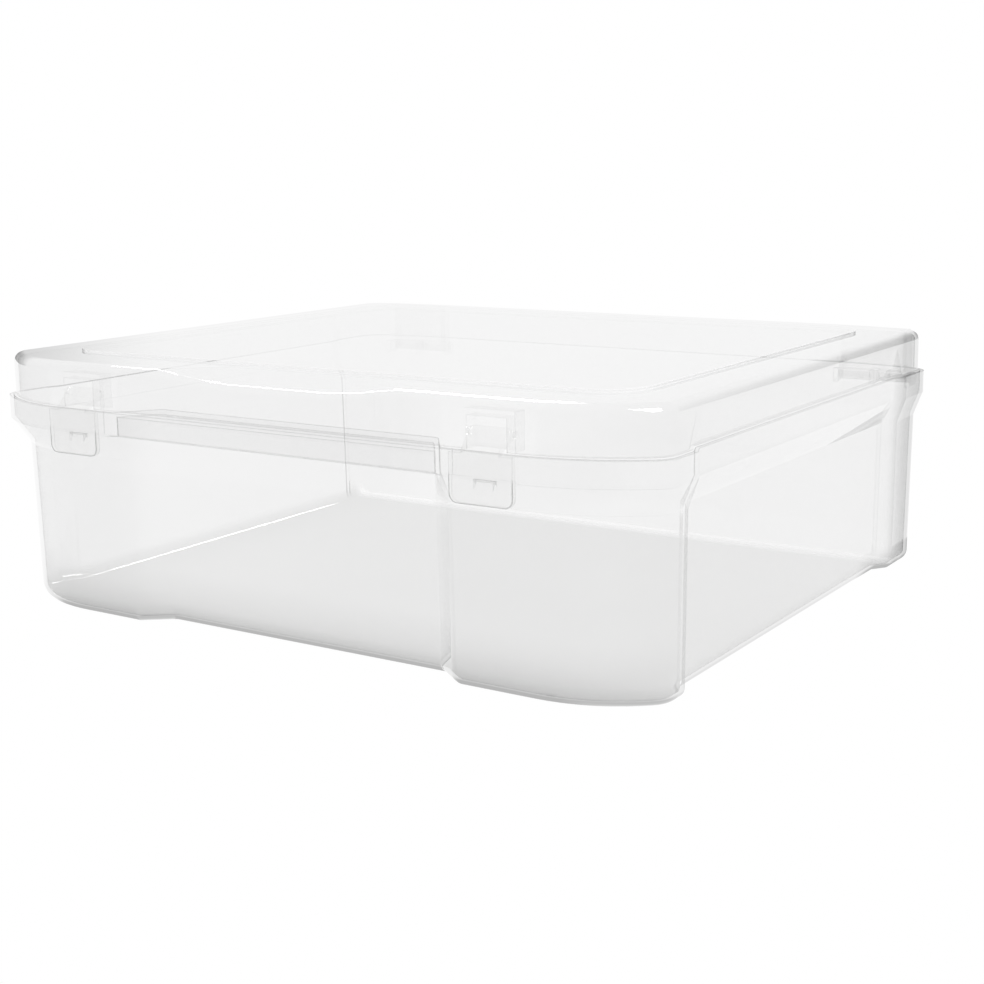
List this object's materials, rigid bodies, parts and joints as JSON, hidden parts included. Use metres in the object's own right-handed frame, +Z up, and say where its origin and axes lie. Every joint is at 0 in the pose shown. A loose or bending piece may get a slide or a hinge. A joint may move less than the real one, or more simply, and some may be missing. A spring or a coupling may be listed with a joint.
{
  "type": "storage case",
  "caption": "Clear hinged-lid plastic storage case with a front hand recess, a rim handle bar, two swinging front latches and clip-in rear hinges.",
  "frame": {"origin": "bottom centre of the closed case's bounding box", "axes": "+Z up, +X along the long front towards the right latch, -Y towards the front with the latches, +Y towards the hinges"},
  "size_m": [0.384, 0.341, 0.128],
  "materials": {
    "tray_plastic": "clear polypropylene, smooth outside, lightly frosted floor",
    "lid_plastic": "clear polypropylene, smooth",
    "latch_plastic": "clear polypropylene, smooth"
  },
  "bodies": {
    "base": {"base_tray": "tray_plastic"},
    "lid": {"lid": "lid_plastic"},
    "latch_left": {"latch_left": "latch_plastic"},
    "latch_right": {"latch_right": "latch_plastic"}
  },
  "joints": [
    {"name": "lid_hinge", "type": "hinge", "parent": "base", "child": "lid", "pos_m": [0, 0.16745, 0.098], "axis": [-1, 0, 0], "range_deg": [0, 110]},
    {"name": "latch_left_pivot", "type": "hinge", "parent": "lid", "child": "latch_left", "pos_m": [-0.1176, -0.16204, 0.1123], "axis": [-1, 0, 0], "range_deg": [0, 90]},
    {"name": "latch_right_pivot", "type": "hinge", "parent": "lid", "child": "latch_right", "pos_m": [0.1176, -0.16204, 0.1123], "axis": [-1, 0, 0], "range_deg": [0, 90]}
  ]
}
